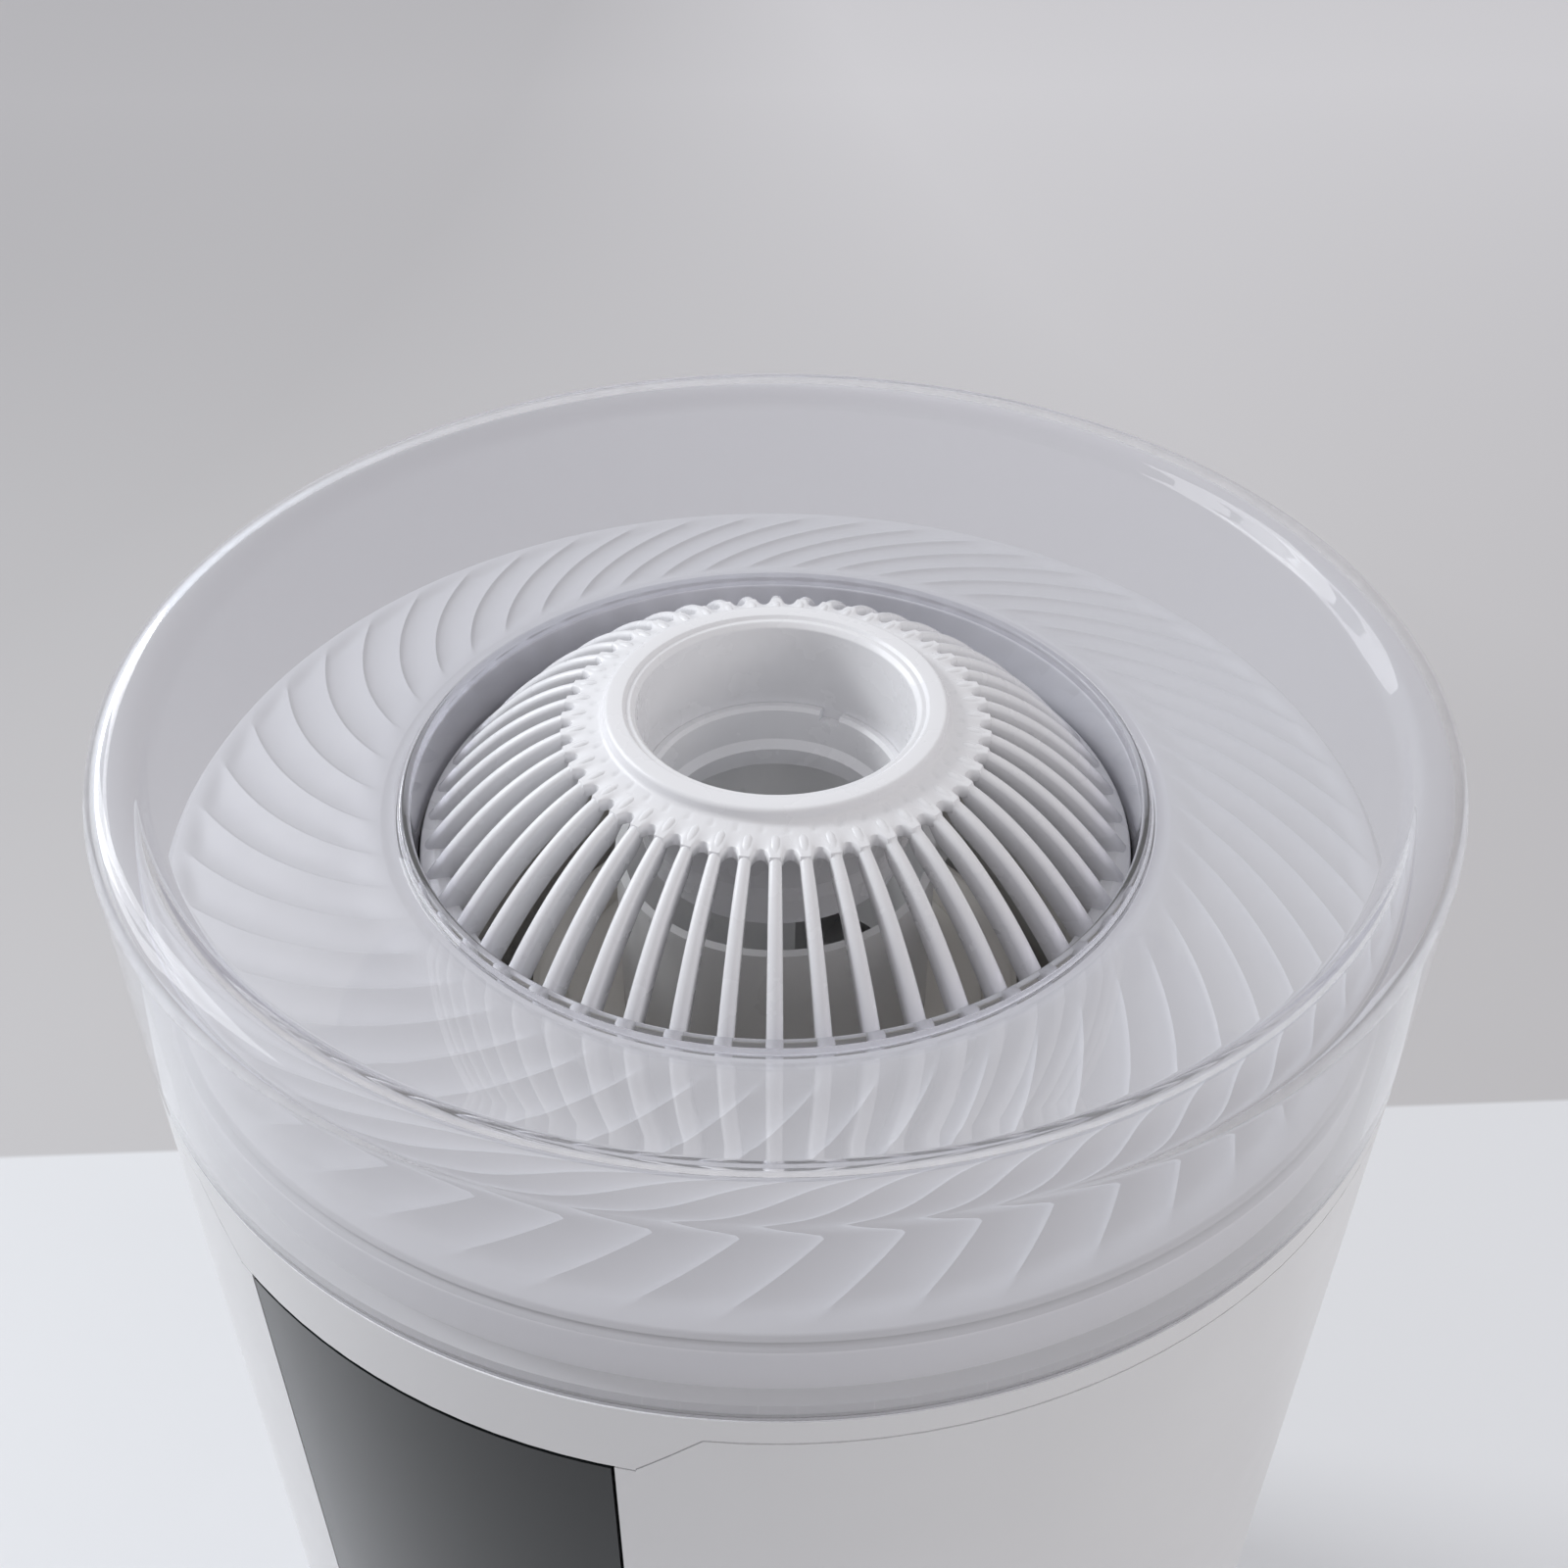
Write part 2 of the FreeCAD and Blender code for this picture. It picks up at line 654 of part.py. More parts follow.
def door_slot(z0, z1):
    """Upright slot cutter with round ends, along +X."""
    w = 2.6
    r0 = BODY_R - 8
    body = block(r0, BODY_R + 4, -w, w, z0 + w, z1 - w)
    low = Part.makeCylinder(w, BODY_R + 4 - r0, V(r0, 0, z0 + w), V(1, 0, 0))
    high = Part.makeCylinder(w, BODY_R + 4 - r0, V(r0, 0, z1 - w), V(1, 0, 0))
    return body.fuse([low, high])


def door_magnets():
    """Four magnets on the back of the door's edges."""
    magnets = []
    for angle in (BACK - 75, BACK + 75):
        for z in (80, 264):
            magnets.append(sector(BODY_R - WALL + 0.3, BODY_R - 6, z - 8, z + 8, angle, 2.5))
    return Part.makeCompound(magnets)


def catch_plates():
    """Steel plates on the casing's edge that the door's magnets hold to."""
    plates = []
    for side in (-1, 1):
        for z in (80, 264):
            plates.append(sector(BODY_R - WALL, BODY_R - 4.5, z - 9, z + 9, BACK + side * 83.4, 3))
    return Part.makeCompound(plates)


# ---- water tank -----------------------------------------------------------
def water_tank():
    """Outer wall of the ring-shaped tank."""
    return tube(TANK_R, TANK_R - DUCT_WALL, TANK_FLOOR, BAND_TOP)


def tank_floor():
    """Floor bonded between the tank's two walls, with the float's post."""
    floor = tube(TANK_R - DUCT_WALL, DUCT_R + DUCT_WALL, TANK_FLOOR, TANK_FLOOR + WALL)
    post = tube(FLOAT_POST_R, 0, TANK_FLOOR + 2, FLOAT_POST_TOP, at(FLOAT_ORBIT, FLOAT_ANGLE))
    return floor.fuse(post).cut(contact_recess())


def tank_duct():
    """Inner wall of the tank round the air way, with a flange for the grille."""
    duct = tube(DUCT_R + DUCT_WALL, DUCT_R, TANK_FLOOR, DUCT_TOP)
    flange = tube(GRILLE_FOOT_R, DUCT_R - 2, DUCT_TOP - 3, DUCT_TOP)
    duct = duct.fuse(flange)
    for angle in BRIDGE_ANGLES:
        duct = duct.cut(bridge_channel(angle))
    return duct


def mist_cup():
    """Cup in the middle of the air way, fed by two hollow bridges from the tank."""
    wall = tube(CUP_R, CUP_R - DUCT_WALL, CUP_FLOOR, CUP_RIM)
    floor = tube(CUP_R, DISC_R + 0.1, CUP_FLOOR, CUP_FLOOR + WALL)
    cup = wall.fuse([floor] + [bridge(angle) for angle in BRIDGE_ANGLES])
    for angle in BRIDGE_ANGLES:
        cup = cup.cut(bridge_channel(angle))
    return cup.common(tube(DUCT_R, 0, CUP_FLOOR - 1, CUP_RIM + 1))


def bridge(angle):
    """Box across the air way from the tank to the mist cup."""
    half = BRIDGE_W / 2
    box = block(-half, half, -DUCT_R - 1, -CUP_R + 1, BRIDGE_BOTTOM, BRIDGE_TOP)
    return turn(box, angle)


def bridge_channel(angle):
    """Water way inside a bridge."""
    half = BRIDGE_W / 2 - WALL
    box = block(-half, half, -DUCT_R - 5, -CUP_R + 5, BRIDGE_BOTTOM + WALL, BRIDGE_TOP - WALL)
    return turn(box, angle)


def air_deflector():
    """Dished ring round the mist cup that spreads the air under the grille."""
    z = DEFLECTOR_Z
    return turned([
        (CUP_R + 0.1, z),
        (62, z),
        (70, z + 9, -3),
        (68, z + 10),
        (60.5, z + 2.5, 3),
        (CUP_R + 0.1, z + 2.5),
    ])


def mist_disc():
    """Ultrasonic disc in the cup's floor."""
    body = tube(DISC_R, 0, CUP_FLOOR - 6, CUP_FLOOR + WALL)
    return body.fuse(tube(16, 12, CUP_FLOOR - 6, CUP_FLOOR))


def mist_seal():
    """Rubber ring over the edge of the ultrasonic disc."""
    return tube(18, 11, CUP_FLOOR + WALL, CUP_FLOOR + WALL + 2)


def tank_contacts():
    """Contact plate under the tank, above the deck's pins."""
    return block(-14, 14, -130, -120, TANK_FLOOR + 0.6, TANK_FLOOR + 1.4)


def contact_recess():
    """Recess in the tank's underside for the contact plate."""
    return block(-14, 14, -130, -120, TANK_FLOOR - 1, TANK_FLOOR + 1.4)


def float_clip():
    """Clip that keeps the float on its post."""
    return tube(6, FLOAT_POST_R, 462, 466, at(FLOAT_ORBIT, FLOAT_ANGLE))


def float_body():
    """Float that rides up the post with the water."""
    place = at(FLOAT_ORBIT, FLOAT_ANGLE)
    body = tube(FLOAT_R, FLOAT_POST_R + 0.6, TANK_FLOOR + WALL + 0.5, TANK_FLOOR + 25, place)
    return body.cut(tube(9, 6, TANK_FLOOR + WALL, TANK_FLOOR + 8, place))


def float_magnet():
    """Ring magnet in the float's underside."""
    return tube(9, 6, TANK_FLOOR + WALL + 1.5, TANK_FLOOR + 8, at(FLOAT_ORBIT, FLOAT_ANGLE))


def tank_handles():
    """Two finger grips inside the tank's rim."""
    grips = []
    for angle in (0, 180):
        grips.append(sector(TANK_R - 2.5, TANK_R - 14, BAND_TOP - 22, BAND_TOP - 18, angle, 11))
    return Part.makeCompound(grips)


# ---- clear ring and swirl plate -------------------------------------------
def top_ring():
    """Clear ring: outer wall, rolled rim, funnel and collar in one thin moulding."""
    low = BAND_TOP + GAP
    roll_r = BODY_R - RIM_ROUND
    roll_z = HEIGHT - RIM_ROUND
    inner_round = RIM_ROUND - WALL
    turn_out = math.radians(RIM_TURN)
    reach = math.sin(turn_out)
    climb = math.cos(turn_out)
    quarter = 1 - math.cos(math.radians(45))
    rest = 1 - math.cos(turn_out / 2)
    return turned([
        (BODY_R, low),
        (BODY_R, roll_z),
        (roll_r, HEIGHT, quarter * RIM_ROUND),
        (roll_r - RIM_ROUND * reach, roll_z + RIM_ROUND * climb, rest * RIM_ROUND),
        (FUNNEL_R, FUNNEL_Z),
        (COLLAR_R + 5.6, COLLAR_TOP - 1.2, -1.6),
        (COLLAR_R + 2.9, COLLAR_TOP - 0.6, -0.4),
        (COLLAR_R, COLLAR_TOP - 0.6, 1.0),
        (COLLAR_R, COLLAR_BOTTOM),
        (COLLAR_R + 2.4, COLLAR_BOTTOM),
        (COLLAR_R + 2.4, COLLAR_TOP - 4.2),
        (COLLAR_R + 6, COLLAR_TOP - 3.6),
        (FUNNEL_R + 2.2, FUNNEL_Z - 2.2, 1.6),
        (roll_r - inner_round * reach, roll_z + inner_round * climb),
        (roll_r, HEIGHT - WALL, -rest * inner_round),
        (BODY_R - WALL, roll_z, -quarter * inner_round),
        (BODY_R - WALL, low),
    ])


def swirl_plate():
    """White sloping plate under the funnel, with an inner wall, an outer skirt and spiral flutes."""
    z = PLATE_BAND_Z
    skin = 2.2
    plate = turned([
        (PLATE_HOLE_R, COLLAR_BOTTOM),
        (PLATE_HOLE_R, z),
        (PLATE_BAND_R, z),
        (PLATE_R - 3, PLATE_EDGE_Z + 1.5),
        (PLATE_R, PLATE_EDGE_Z - 2, 0.9),
        (PLATE_R, BAND_TOP + GAP),
        (PLATE_R - skin, BAND_TOP + GAP),
        (PLATE_R - skin, PLATE_EDGE_Z - 3.5),
        (PLATE_BAND_R, z - skin),
        (PLATE_HOLE_R + skin, z - skin),
        (PLATE_HOLE_R + skin, COLLAR_BOTTOM),
    ])
    return plate.cut(around(flute_cutter(), SWIRL_RIBS, FLUTE_FIRST))


def flute_cutter():
    """Shallow lens-shaped cutter along one spiral flute."""
    wires = []
    fall = (PLATE_EDGE_Z + 1.5 - PLATE_BAND_Z) / (PLATE_R - 3 - PLATE_BAND_R)
    half = 180.0 / SWIRL_RIBS
    for share in (0.06, 0.35, 0.65, 0.94):
        radius = PLATE_BAND_R + share * (PLATE_R - 4 - PLATE_BAND_R)
        top = PLATE_BAND_Z + fall * (radius - PLATE_BAND_R)
        middle = -SWIRL_TURN * share
        depth = FLUTE_DEPTH * math.sin(math.pi * share)
        left = at(radius, middle - half, top + 0.6)
        bed = at(radius, middle, top - depth)
        right = at(radius, middle + half, top + 0.6)
        wires.append(Part.makePolygon([left, bed, right, left]))
    return Part.makeLoft(wires, True, True)


def ring_seal():
    """Soft ring between the swirl plate and the clear ring's wall."""
    return tube(BODY_R - WALL, PLATE_R, BAND_TOP + 1, BAND_TOP + 4)


# ---- grille ---------------------------------------------------------------
def grille_rise(radius):
    """Height of the dome's outer face at a radius: a straight slope with a gentle bow."""
    t = (radius - GRILLE_CAP_R) / (GRILLE_R - GRILLE_CAP_R)
    return GRILLE_CAP_Z + (GRILLE_BASE_Z - GRILLE_CAP_Z) * t + GRILLE_BULGE * t * (1 - t)


def dome_grille():
    """Domed outlet: centre tube, solid cap and slotted skirt of bars."""
    middle = (GRILLE_R + GRILLE_CAP_R) / 2
    skin = 4.0
    face = bowed_face(middle, skin)
    dome = face.revolve(V(0, 0, 0), UP, 360)
    slot = radial_slot(SLOT_START_R, GRILLE_R - 0.5, 3.8, 7.2, GRILLE_BASE_Z + 0.5, GRILLE_TOP)
    return dome.cut(around(slot, GRILLE_BARS, SLOT_FIRST))


def bowed_face(middle, skin):
    """Section of the dome, with its bowed outer and inner faces as arcs."""
    base = GRILLE_BASE_Z
    outline = [
        V(GRILLE_HOLE_R, 0, GRILLE_TOP - 2.3),
        V(GRILLE_HOLE_R + 2.4, 0, GRILLE_TOP - 0.8),
        V(GRILLE_HOLE_R + 3.4, 0, GRILLE_TOP),
        V(GRILLE_CAP_R - 1.1, 0, GRILLE_TOP),
        V(GRILLE_CAP_R, 0, GRILLE_TOP - 1),
        V(GRILLE_CAP_R, 0, GRILLE_CAP_Z),
    ]
    edges = [Part.LineSegment(a, b).toShape() for a, b in zip(outline, outline[1:])]
    crown = V(middle, 0, grille_rise(middle))
    edges.append(Part.Arc(outline[-1], crown, V(GRILLE_R, 0, base)).toShape())
    lower = [
        V(GRILLE_R, 0, base),
        V(GRILLE_FOOT_R, 0, base),
        V(GRILLE_FOOT_R, 0, base - 4.5),
        V(GRILLE_R - skin, 0, base - 4.5),
        V(GRILLE_R - skin, 0, base - 0.5),
    ]
    edges += [Part.LineSegment(a, b).toShape() for a, b in zip(lower, lower[1:])]
    inner_top = V(GRILLE_HOLE_R + 3, 0, GRILLE_CAP_Z - skin)
    inner_mid = V(middle - 2, 0, grille_rise(middle) - skin)
    edges.append(Part.Arc(lower[-1], inner_mid, inner_top).toShape())
    inner = [
        inner_top,
        V(GRILLE_HOLE_R + 1.8, 0, TUBE_TOP - 4),
        V(GRILLE_HOLE_R - 0.6, 0, TUBE_TOP - 4),
        outline[0],
    ]
    edges += [Part.LineSegment(a, b).toShape() for a, b in zip(inner, inner[1:])]
    return Part.Face(Part.Wire(edges))


def centre_tube():
    """Step ring pressed into the grille's tube, with a small latch notch."""
    r = GRILLE_HOLE_R - 0.6
    body = turned([
        (r, TUBE_TOP - 4),
        (r + 1.8, TUBE_TOP - 4.05),
        (r + 1.8, TUBE_TOP - 9),
        (r, TUBE_BOTTOM),
        (TUBE_MOUTH_R + 0.6, TUBE_BOTTOM),
        (TUBE_MOUTH_R, TUBE_BOTTOM + 5.7),
        (TUBE_R - 0.8, TUBE_BOTTOM + 8),
        (TUBE_R, TUBE_TOP - 1),
        (TUBE_R + 1, TUBE_TOP),
        (r, TUBE_TOP),
    ])
    notch = block(20, 40, -3, 3, TUBE_TOP - 3, TUBE_TOP + 1)
    return body.cut(turn(notch, NOTCH_ANGLE))


# ---- fasteners ------------------------------------------------------------
def screw(place, head_z, length, down=True):
    """Pan-head screw whose head sits at head_z."""
    if down:
        head = tube(SCREW_HEAD_R, 0, head_z, head_z + SCREW_HEAD_H, place)
        shank = tube(SCREW_R, 0, head_z - length, head_z, place)
    else:
        head = tube(SCREW_HEAD_R, 0, head_z - SCREW_HEAD_H, head_z, place)
        shank = tube(SCREW_R, 0, head_z, head_z + length, place)
    return head.fuse(shank)


def tray_screws():
    """Screws of the filter tray."""
    return Part.makeCompound([screw(p, BASE_TOP + 3, 14) for p in pan_screw_places()])


def housing_screws():
    """Screws of the fan housing."""
    return Part.makeCompound([screw(p, FAN_BOTTOM + 3, 9) for p in housing_screw_places()])


PARTS = {
    "base_pan": base_pan,
    "rubber_feet": rubber_feet,
    "outer_shell": outer_shell,
    "front_panel": front_panel,
    "panel_frame": panel_frame,
    "display_board": display_board,
    "display_lights": display_lights,
    "control_board": control_board,
    "power_supply": power_supply,
    "mains_inlet": mains_inlet,
    "filter_tray": filter_tray,
    "fan_deck": fan_deck,
    "fan_housing": fan_housing,
    "housing_brackets": housing_brackets,
    "fan_guard": fan_guard,
    "motor": motor,
    "motor_bushes": motor_bushes,
    "motor_cover": motor_cover,
    "shaft": shaft,
    "impeller": impeller,
    "impeller_nut": impeller_nut,
    "tank_deck": tank_deck,
    "deck_rim": deck_rim,
    "deck_contacts": deck_contacts,
    "level_sensor": level_sensor,
    "dust_sensor": dust_sensor,
    "motor_lead": motor_lead,
    "supply_lead": supply_lead,
    "filter_media": filter_media,
    "filter_core": filter_core,
    "filter_bottom_cap": filter_bottom_cap,
    "filter_top_cap": filter_top_cap,
    "filter_seal": filter_seal,
    "pre_filter": pre_filter,
    "filter_tab": filter_tab,
    "rear_door": rear_door,
    "door_magnets": door_magnets,
    "catch_plates": catch_plates,
    "water_tank": water_tank,
    "tank_floor": tank_floor,
    "tank_duct": tank_duct,
    "mist_cup": mist_cup,
    "upper_band": upper_band,
    "air_deflector": air_deflector,
    "mist_disc": mist_disc,
    "mist_seal": mist_seal,
    "tank_contacts": tank_contacts,
    "float_clip": float_clip,
    "float_body": float_body,
    "float_magnet": float_magnet,
    "tank_handles": tank_handles,
    "top_ring": top_ring,
    "swirl_plate": swirl_plate,
    "ring_seal": ring_seal,
    "dome_grille": dome_grille,
    "centre_tube": centre_tube,
    "tray_screws": tray_screws,
    "housing_screws": housing_screws,
}


def main():
    os.makedirs("parts", exist_ok=True)
    for name, make in PARTS.items():
        shape = make()
        if not shape.isValid():
            print("not valid:", name)
        print(name, len(shape.Solids), round(shape.Volume / 1000.0, 2), "cm3")
        shape.exportStep("parts/" + name + ".step")


main()
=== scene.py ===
import json
import math

import bpy
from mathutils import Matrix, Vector


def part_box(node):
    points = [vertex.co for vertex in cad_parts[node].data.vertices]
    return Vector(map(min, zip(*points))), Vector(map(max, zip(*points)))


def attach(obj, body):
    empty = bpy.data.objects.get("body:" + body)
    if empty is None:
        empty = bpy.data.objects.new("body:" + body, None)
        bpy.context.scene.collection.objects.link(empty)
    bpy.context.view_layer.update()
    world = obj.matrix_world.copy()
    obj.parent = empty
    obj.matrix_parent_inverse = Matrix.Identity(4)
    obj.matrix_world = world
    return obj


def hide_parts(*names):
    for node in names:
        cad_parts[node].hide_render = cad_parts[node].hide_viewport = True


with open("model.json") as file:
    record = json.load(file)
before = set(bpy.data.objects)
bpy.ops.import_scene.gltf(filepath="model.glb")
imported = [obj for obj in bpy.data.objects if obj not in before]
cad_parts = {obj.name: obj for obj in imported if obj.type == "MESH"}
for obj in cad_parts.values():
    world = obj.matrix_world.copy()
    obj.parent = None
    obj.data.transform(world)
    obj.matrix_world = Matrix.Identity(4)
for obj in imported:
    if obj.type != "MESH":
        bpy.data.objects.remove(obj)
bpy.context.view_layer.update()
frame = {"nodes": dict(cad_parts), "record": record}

MM = 0.001

# ---- sizes read from the frame, in millimetres ----------------------------
RIM_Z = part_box("top_ring")[1].z / MM          # top of the clear ring
RING_LOW_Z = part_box("top_ring")[0].z / MM
BODY_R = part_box("outer_shell")[1].x / MM
PLATE_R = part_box("swirl_plate")[1].x / MM
PLATE_LOW_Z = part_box("swirl_plate")[0].z / MM
PLATE_TOP_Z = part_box("swirl_plate")[1].z / MM
GRILLE_TOP_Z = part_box("dome_grille")[1].z / MM
GRILLE_LOW_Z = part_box("dome_grille")[0].z / MM
GRILLE_RING_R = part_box("dome_grille")[1].x / MM

# ---- the camera: distances from the object's axis and rim -----------------
CAMERA_AZIMUTH = 28.8       # degrees round from the glass panel
CAMERA_OUT = 373.8
CAMERA_UP = 263.3
CAMERA_PITCH = 38.93        # degrees below level
CAMERA_ROLL = 0.24          # degrees
CAMERA_LENS = 41.3          # with a sensor 36 mm wide
CAMERA_SHIFT = 0.0053
EDGE_BEHIND = 354.0         # where the white table ends behind the object
EDGE_TURN = 3.0             # degrees
EDGE_BLUR = 3.0             # width over which the table's tone gives way to the wall's
FLOOR_FRONT = -600.0        # the table's tones start here, in front of the object, where its painted shade is darkest
FLOOR_BACK = 2300.0         # the wall's tones end here, behind it, where their painted light is brightest
FLOOR_SIZE = 4000.0         # half a side

# ---- the lamps: distances right of the axis, behind it and above the rim --
LEFT_LAMP = (-1200.0, 465.0, 750.0)
RIGHT_LAMP = (1400.0, -540.0, 540.0)
LAMP_TARGET = -30.0         # height of the point they face, from the rim

# ---- clear ring -----------------------------------------------------------
TRAPPED_DEPTH = 1.5         # bounces after which light leaves the wall straight
COLLAR_DEPTH = 0.5          # the same for the collar
RING_WALL = 3.0
RIM_ROUND = 7.6             # outer radius of the rolled rim
RIM_TURN = 56.0             # how far the roll goes on past its top, degrees
FUNNEL_R = 154.4            # where the rolled rim meets the funnel
FUNNEL_Z = RIM_Z - 5.8
COLLAR_R = 96.1
COLLAR_WALL = 2.4
COLLAR_TOP_Z = RIM_Z - 34.0
COLLAR_LOW_Z = RIM_Z - 54.5
RING_STEPS = 576            # facets round the clear ring
ROLL_STEPS = 24

# ---- swirl plate ----------------------------------------------------------
RIBS = 50
RIB_TURN = 26.0             # degrees that a crest turns on its way out
RIB_FIRST = 3.27            # azimuth of a crest at its inner end, degrees
RIB_DEPTH = 1.45
RIB_LEAN = 0.72             # below one, a flute is steeper on one side
BAND_R = 104.5
PLATE_HOLE_R = 99.0
PLATE_SKIN = 2.2
PLATE_EDGE_Z = RIM_Z - 51.4

# ---- dome grille ----------------------------------------------------------
BARS = 48
BAR_FIRST = -1.2            # azimuth of a bar, degrees
CAP_R = 45.0
CAP_Z = RIM_Z - 14.0
BASE_R = 92.5
BASE_Z = RIM_Z - 50.0
BULGE = 28.0                # how far the bars bow out, four times the rise at mid length
CAP_THICK = 3.6
SCALLOP_R = 48.0            # where the cap's edge starts to follow the slots' ends
SLOT_TIP_R = 53.0
SLOT_HALF = 1.9             # half width of a slot at its end
DENT_R = 47.4               # small dents between the bars' roots
DENT_DEPTH = 0.45
BAR_START_R = 46.4          # bars start here, inside the cap
BAR_GROW = 5.0              # length over which they come out of it
HOLE_R = 36.3


# ---- mesh helpers ---------------------------------------------------------
def rounded(corners, steps=5):
    """Closed outline from (r, z, fillet radius) corners."""
    outline = []
    count = len(corners)
    for i, (r, z, fillet) in enumerate(corners):
        here = Vector((r, z))
        before = Vector(corners[i - 1][:2]) - here
        after = Vector(corners[(i + 1) % count][:2]) - here
        if fillet <= 0:
            outline.append((r, z))
            continue
        half = before.angle(after) / 2
        reach = min(fillet / math.tan(half), 0.48 * before.length, 0.48 * after.length)
        radius = reach * math.tan(half)
        middle = here + (before.normalized() + after.normalized()).normalized() * (radius / math.sin(half))
        start = here + before.normalized() * reach - middle
        end = here + after.normalized() * reach - middle
        for k in range(steps + 1):
            swing = start.lerp(end, k / steps).normalized() * radius
            outline.append(tuple(middle + swing))
    return outline


def refine(outline, longest):
    """Adds points so that no edge of a closed outline is longer than a length."""
    dense = []
    for i, (r, z) in enumerate(outline):
        r2, z2 = outline[(i + 1) % len(outline)]
        pieces = max(1, math.ceil(math.hypot(r2 - r, z2 - z) / longest))
        dense += [(r + (r2 - r) * k / pieces, z + (z2 - z) * k / pieces) for k in range(pieces)]
    return dense


def mesh_piece(name, points, faces, crease=40.0):
    """Object from points in millimetres, smooth except at creases."""
    mesh = bpy.data.meshes.new(name)
    mesh.from_pydata([tuple(c * MM for c in p) for p in points], [], faces)
    mesh.shade_smooth()
    mesh.set_sharp_from_angle(angle=math.radians(crease))
    piece = bpy.data.objects.new(name, mesh)
    bpy.context.scene.collection.objects.link(piece)
    return piece


def spun(name, outline, steps=288, warp=None, crease=40.0):
    """Closed ring spun from an outline; warp moves each (r, z, angle) as the surface needs."""
    points = []
    for i in range(steps):
        angle = 2 * math.pi * i / steps
        for r, z in outline:
            a = angle
            if warp:
                r, z, a = warp(r, z, angle)
            points.append((r * math.cos(a), r * math.sin(a), z))
    n = len(outline)
    faces = []
    for i in range(steps):
        j = (i + 1) % steps
        for k in range(n):
            m = (k + 1) % n
            faces.append((i * n + k, j * n + k, j * n + m, i * n + m))
    return mesh_piece(name, points, faces, crease)


def finish_piece(piece, body, material, node):
    """Puts a piece on its body, in place of its CAD node."""
    piece.data.materials.clear()
    piece.data.materials.append(material)
    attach(piece, body)
    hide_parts(node)


def smooth_step(x):
    """Eases from 0 to 1."""
    x = min(1.0, max(0.0, x))
    return x * x * (3 - 2 * x)


# ---- material helpers -----------------------------------------------------
def new_material(name):
    """Empty node material with its Principled shader, output and texture coordinate."""
    material = bpy.data.materials.new(name)
    material.use_nodes = True
    tree = material.node_tree
    shader = tree.nodes["Principled BSDF"]
    coords = tree.nodes.new("ShaderNodeTexCoord")
    return material, tree, shader, coords


def noise(tree, coords, scale, detail=4.0, rough=0.5):
    """Noise in object space, in features per metre."""
    node = tree.nodes.new("ShaderNodeTexNoise")
    node.inputs["Scale"].default_value = scale
    node.inputs["Detail"].default_value = detail
    node.inputs["Roughness"].default_value = rough
    tree.links.new(coords.outputs["Object"], node.inputs["Vector"])
    return node


def ramp(tree, source, stops):
    """Colour ramp from (position, colour) stops."""
    node = tree.nodes.new("ShaderNodeValToRGB")
    elements = node.color_ramp.elements
    for i, (position, colour) in enumerate(stops):
        element = elements[i] if i < len(elements) else elements.new(position)
        element.position = position
        element.color = (*colour, 1.0)
    tree.links.new(source, node.inputs["Fac"])
    return node


def spread(tree, source, low, high, start=0.3, end=0.7):
    """Maps a range, by default the one that noise mostly keeps to, to another one."""
    node = tree.nodes.new("ShaderNodeMapRange")
    node.inputs["From Min"].default_value = start
    node.inputs["From Max"].default_value = end
    node.inputs["To Min"].default_value = low
    node.inputs["To Max"].default_value = high
    tree.links.new(source, node.inputs["Value"])
    return node


def add_bump(tree, shader, source, strength, distance):
    """Fine relief on the shader."""
    node = tree.nodes.new("ShaderNodeBump")
    node.inputs["Strength"].default_value = strength
    node.inputs["Distance"].default_value = distance
    tree.links.new(source, node.inputs["Height"])
    tree.links.new(node.outputs["Normal"], shader.inputs["Normal"])


def moulded(name, colour, rough=(0.3, 0.42), vary=0.02, grain=2600.0, relief=0.00002,
            coat=0.0, metal=0.0, shine=0.5):
    """Moulded plastic or metal: slow colour drift, uneven gloss and a fine grain."""
    material, tree, shader, coords = new_material(name)
    drift = noise(tree, coords, 14.0)
    dark = tuple(c * (1 - vary) for c in colour)
    tint = ramp(tree, drift.outputs["Fac"], [(0.35, dark), (0.65, colour)])
    tree.links.new(tint.outputs["Color"], shader.inputs["Base Color"])
    patches = noise(tree, coords, 60.0, 6.0)
    gloss = spread(tree, patches.outputs["Fac"], *rough)
    tree.links.new(gloss.outputs["Result"], shader.inputs["Roughness"])
    fine = noise(tree, coords, grain, 2.0)
    add_bump(tree, shader, fine.outputs["Fac"], 0.35, relief)
    shader.inputs["Coat Weight"].default_value = coat
    shader.inputs["Coat Roughness"].default_value = 0.08
    shader.inputs["Metallic"].default_value = metal
    shader.inputs["Specular IOR Level"].default_value = shine
    return material


